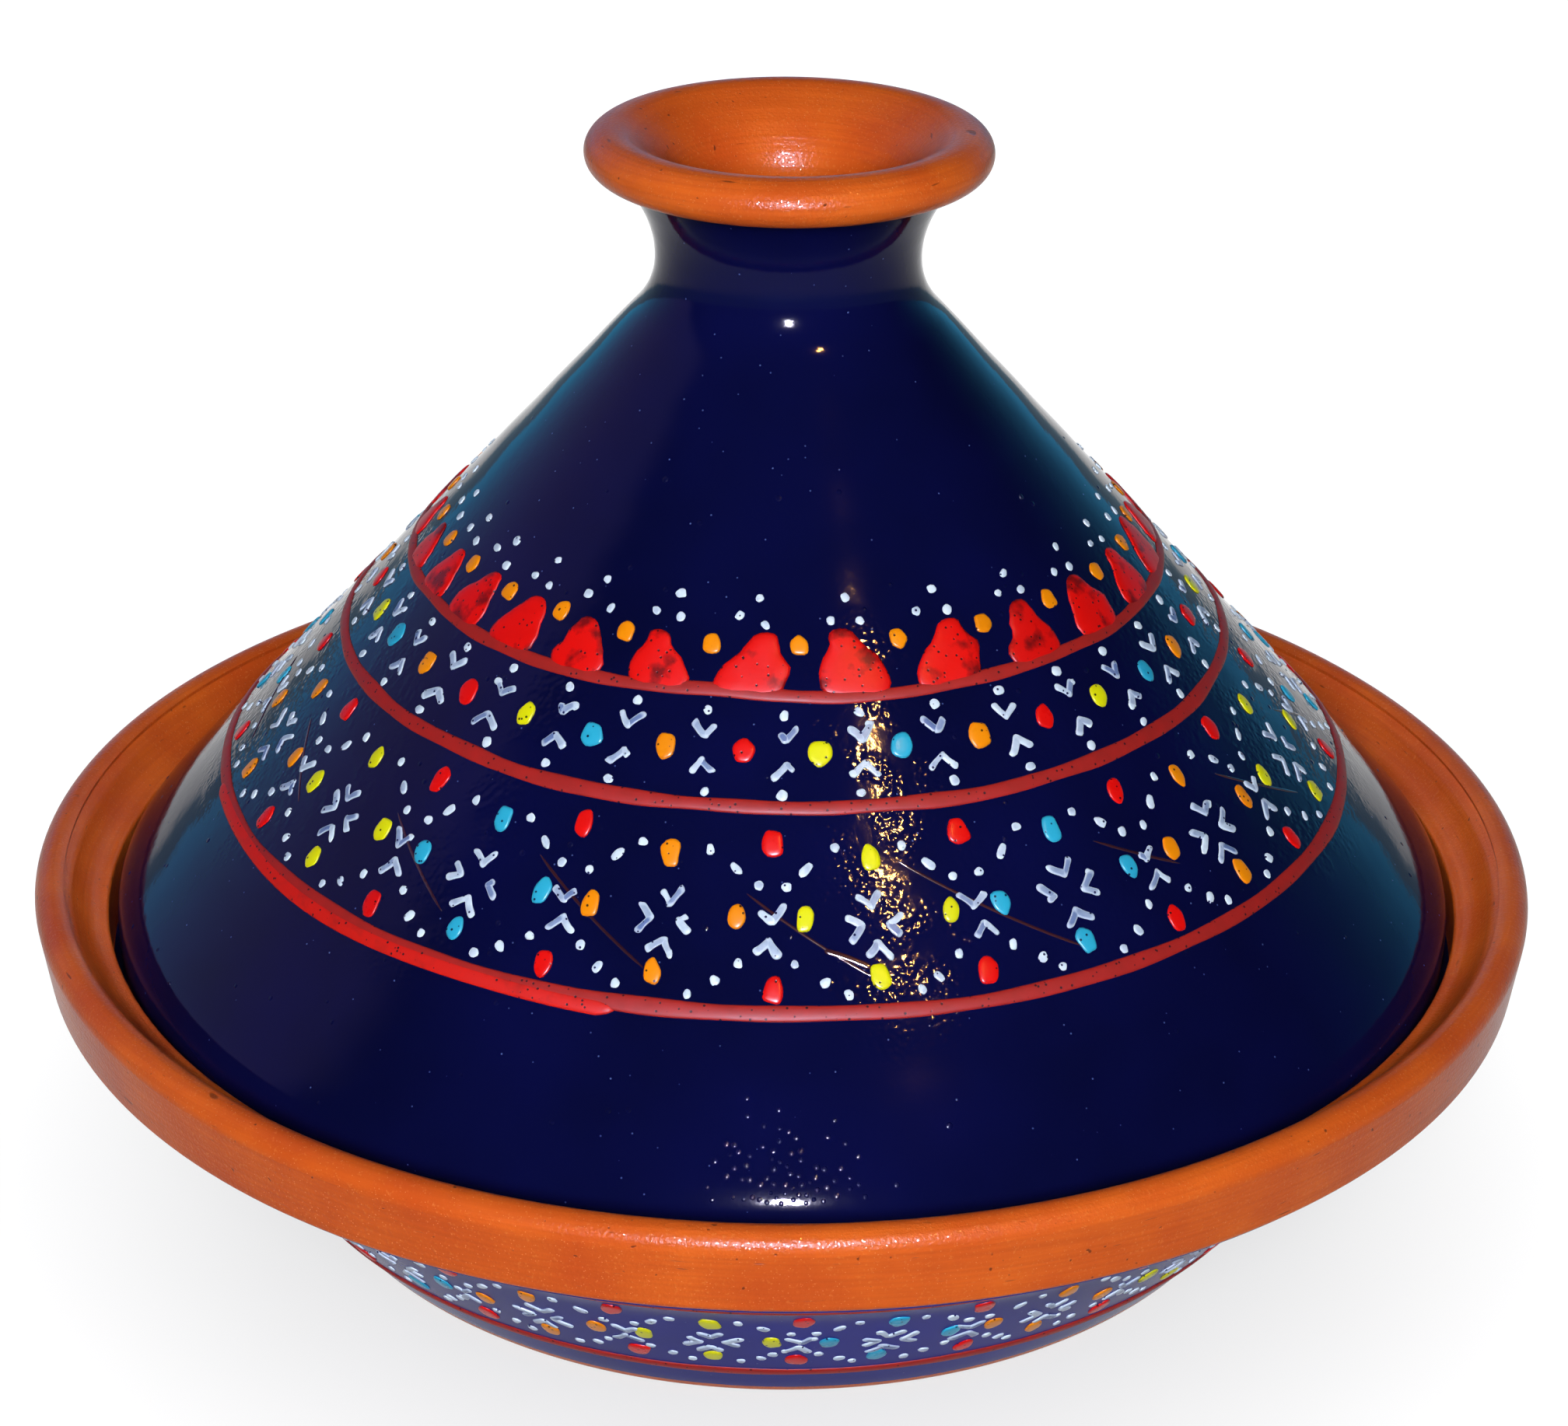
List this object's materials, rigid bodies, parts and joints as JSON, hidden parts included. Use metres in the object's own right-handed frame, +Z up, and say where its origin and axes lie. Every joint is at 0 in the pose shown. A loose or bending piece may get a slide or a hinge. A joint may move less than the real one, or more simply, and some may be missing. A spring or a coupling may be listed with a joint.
{
  "type": "tagine",
  "caption": "Round clay cooking pot: a shallow glazed dish with a bare rim and a lift-off conical lid with a cup-shaped knob, painted with lines and folk motifs.",
  "frame": {"origin": "centre of the dish's flat underside, on the table", "axes": "+Z up along the axis of the pot; -Y faces the picture's viewer"},
  "size_m": [0.31, 0.31, 0.222],
  "materials": {
    "terracotta": "bare fired clay, lightly burnished",
    "cobalt_glaze": "glossy dark blue glaze",
    "brick_red_enamel": "satin painted enamel",
    "bright_red_enamel": "glossy painted enamel, the drops and red ovals of the pattern",
    "orange_enamel": "glossy painted enamel, the orange ovals of the pattern",
    "yellow_enamel": "glossy painted enamel, the yellow ovals of the pattern",
    "turquoise_enamel": "glossy painted enamel, the turquoise ovals of the pattern",
    "white_enamel": "glossy painted enamel, the white dots and strokes of the pattern"
  },
  "bodies": {
    "dish": {"dish_clay": "terracotta", "dish_outer_glaze": "cobalt_glaze", "dish_inner_glaze": "cobalt_glaze", "dish_upper_line": "brick_red_enamel", "dish_lower_line": "brick_red_enamel"},
    "lid": {"lid_clay": "terracotta", "knob_clay": "terracotta", "lid_glaze": "cobalt_glaze", "lid_upper_line": "brick_red_enamel", "lid_middle_line": "brick_red_enamel", "lid_lower_line": "brick_red_enamel"}
  },
  "joints": [
    {"name": "lid_lift", "type": "slide", "parent": "dish", "child": "lid", "axis": [0, 0, 1], "range_m": [0, 0.15]}
  ]
}
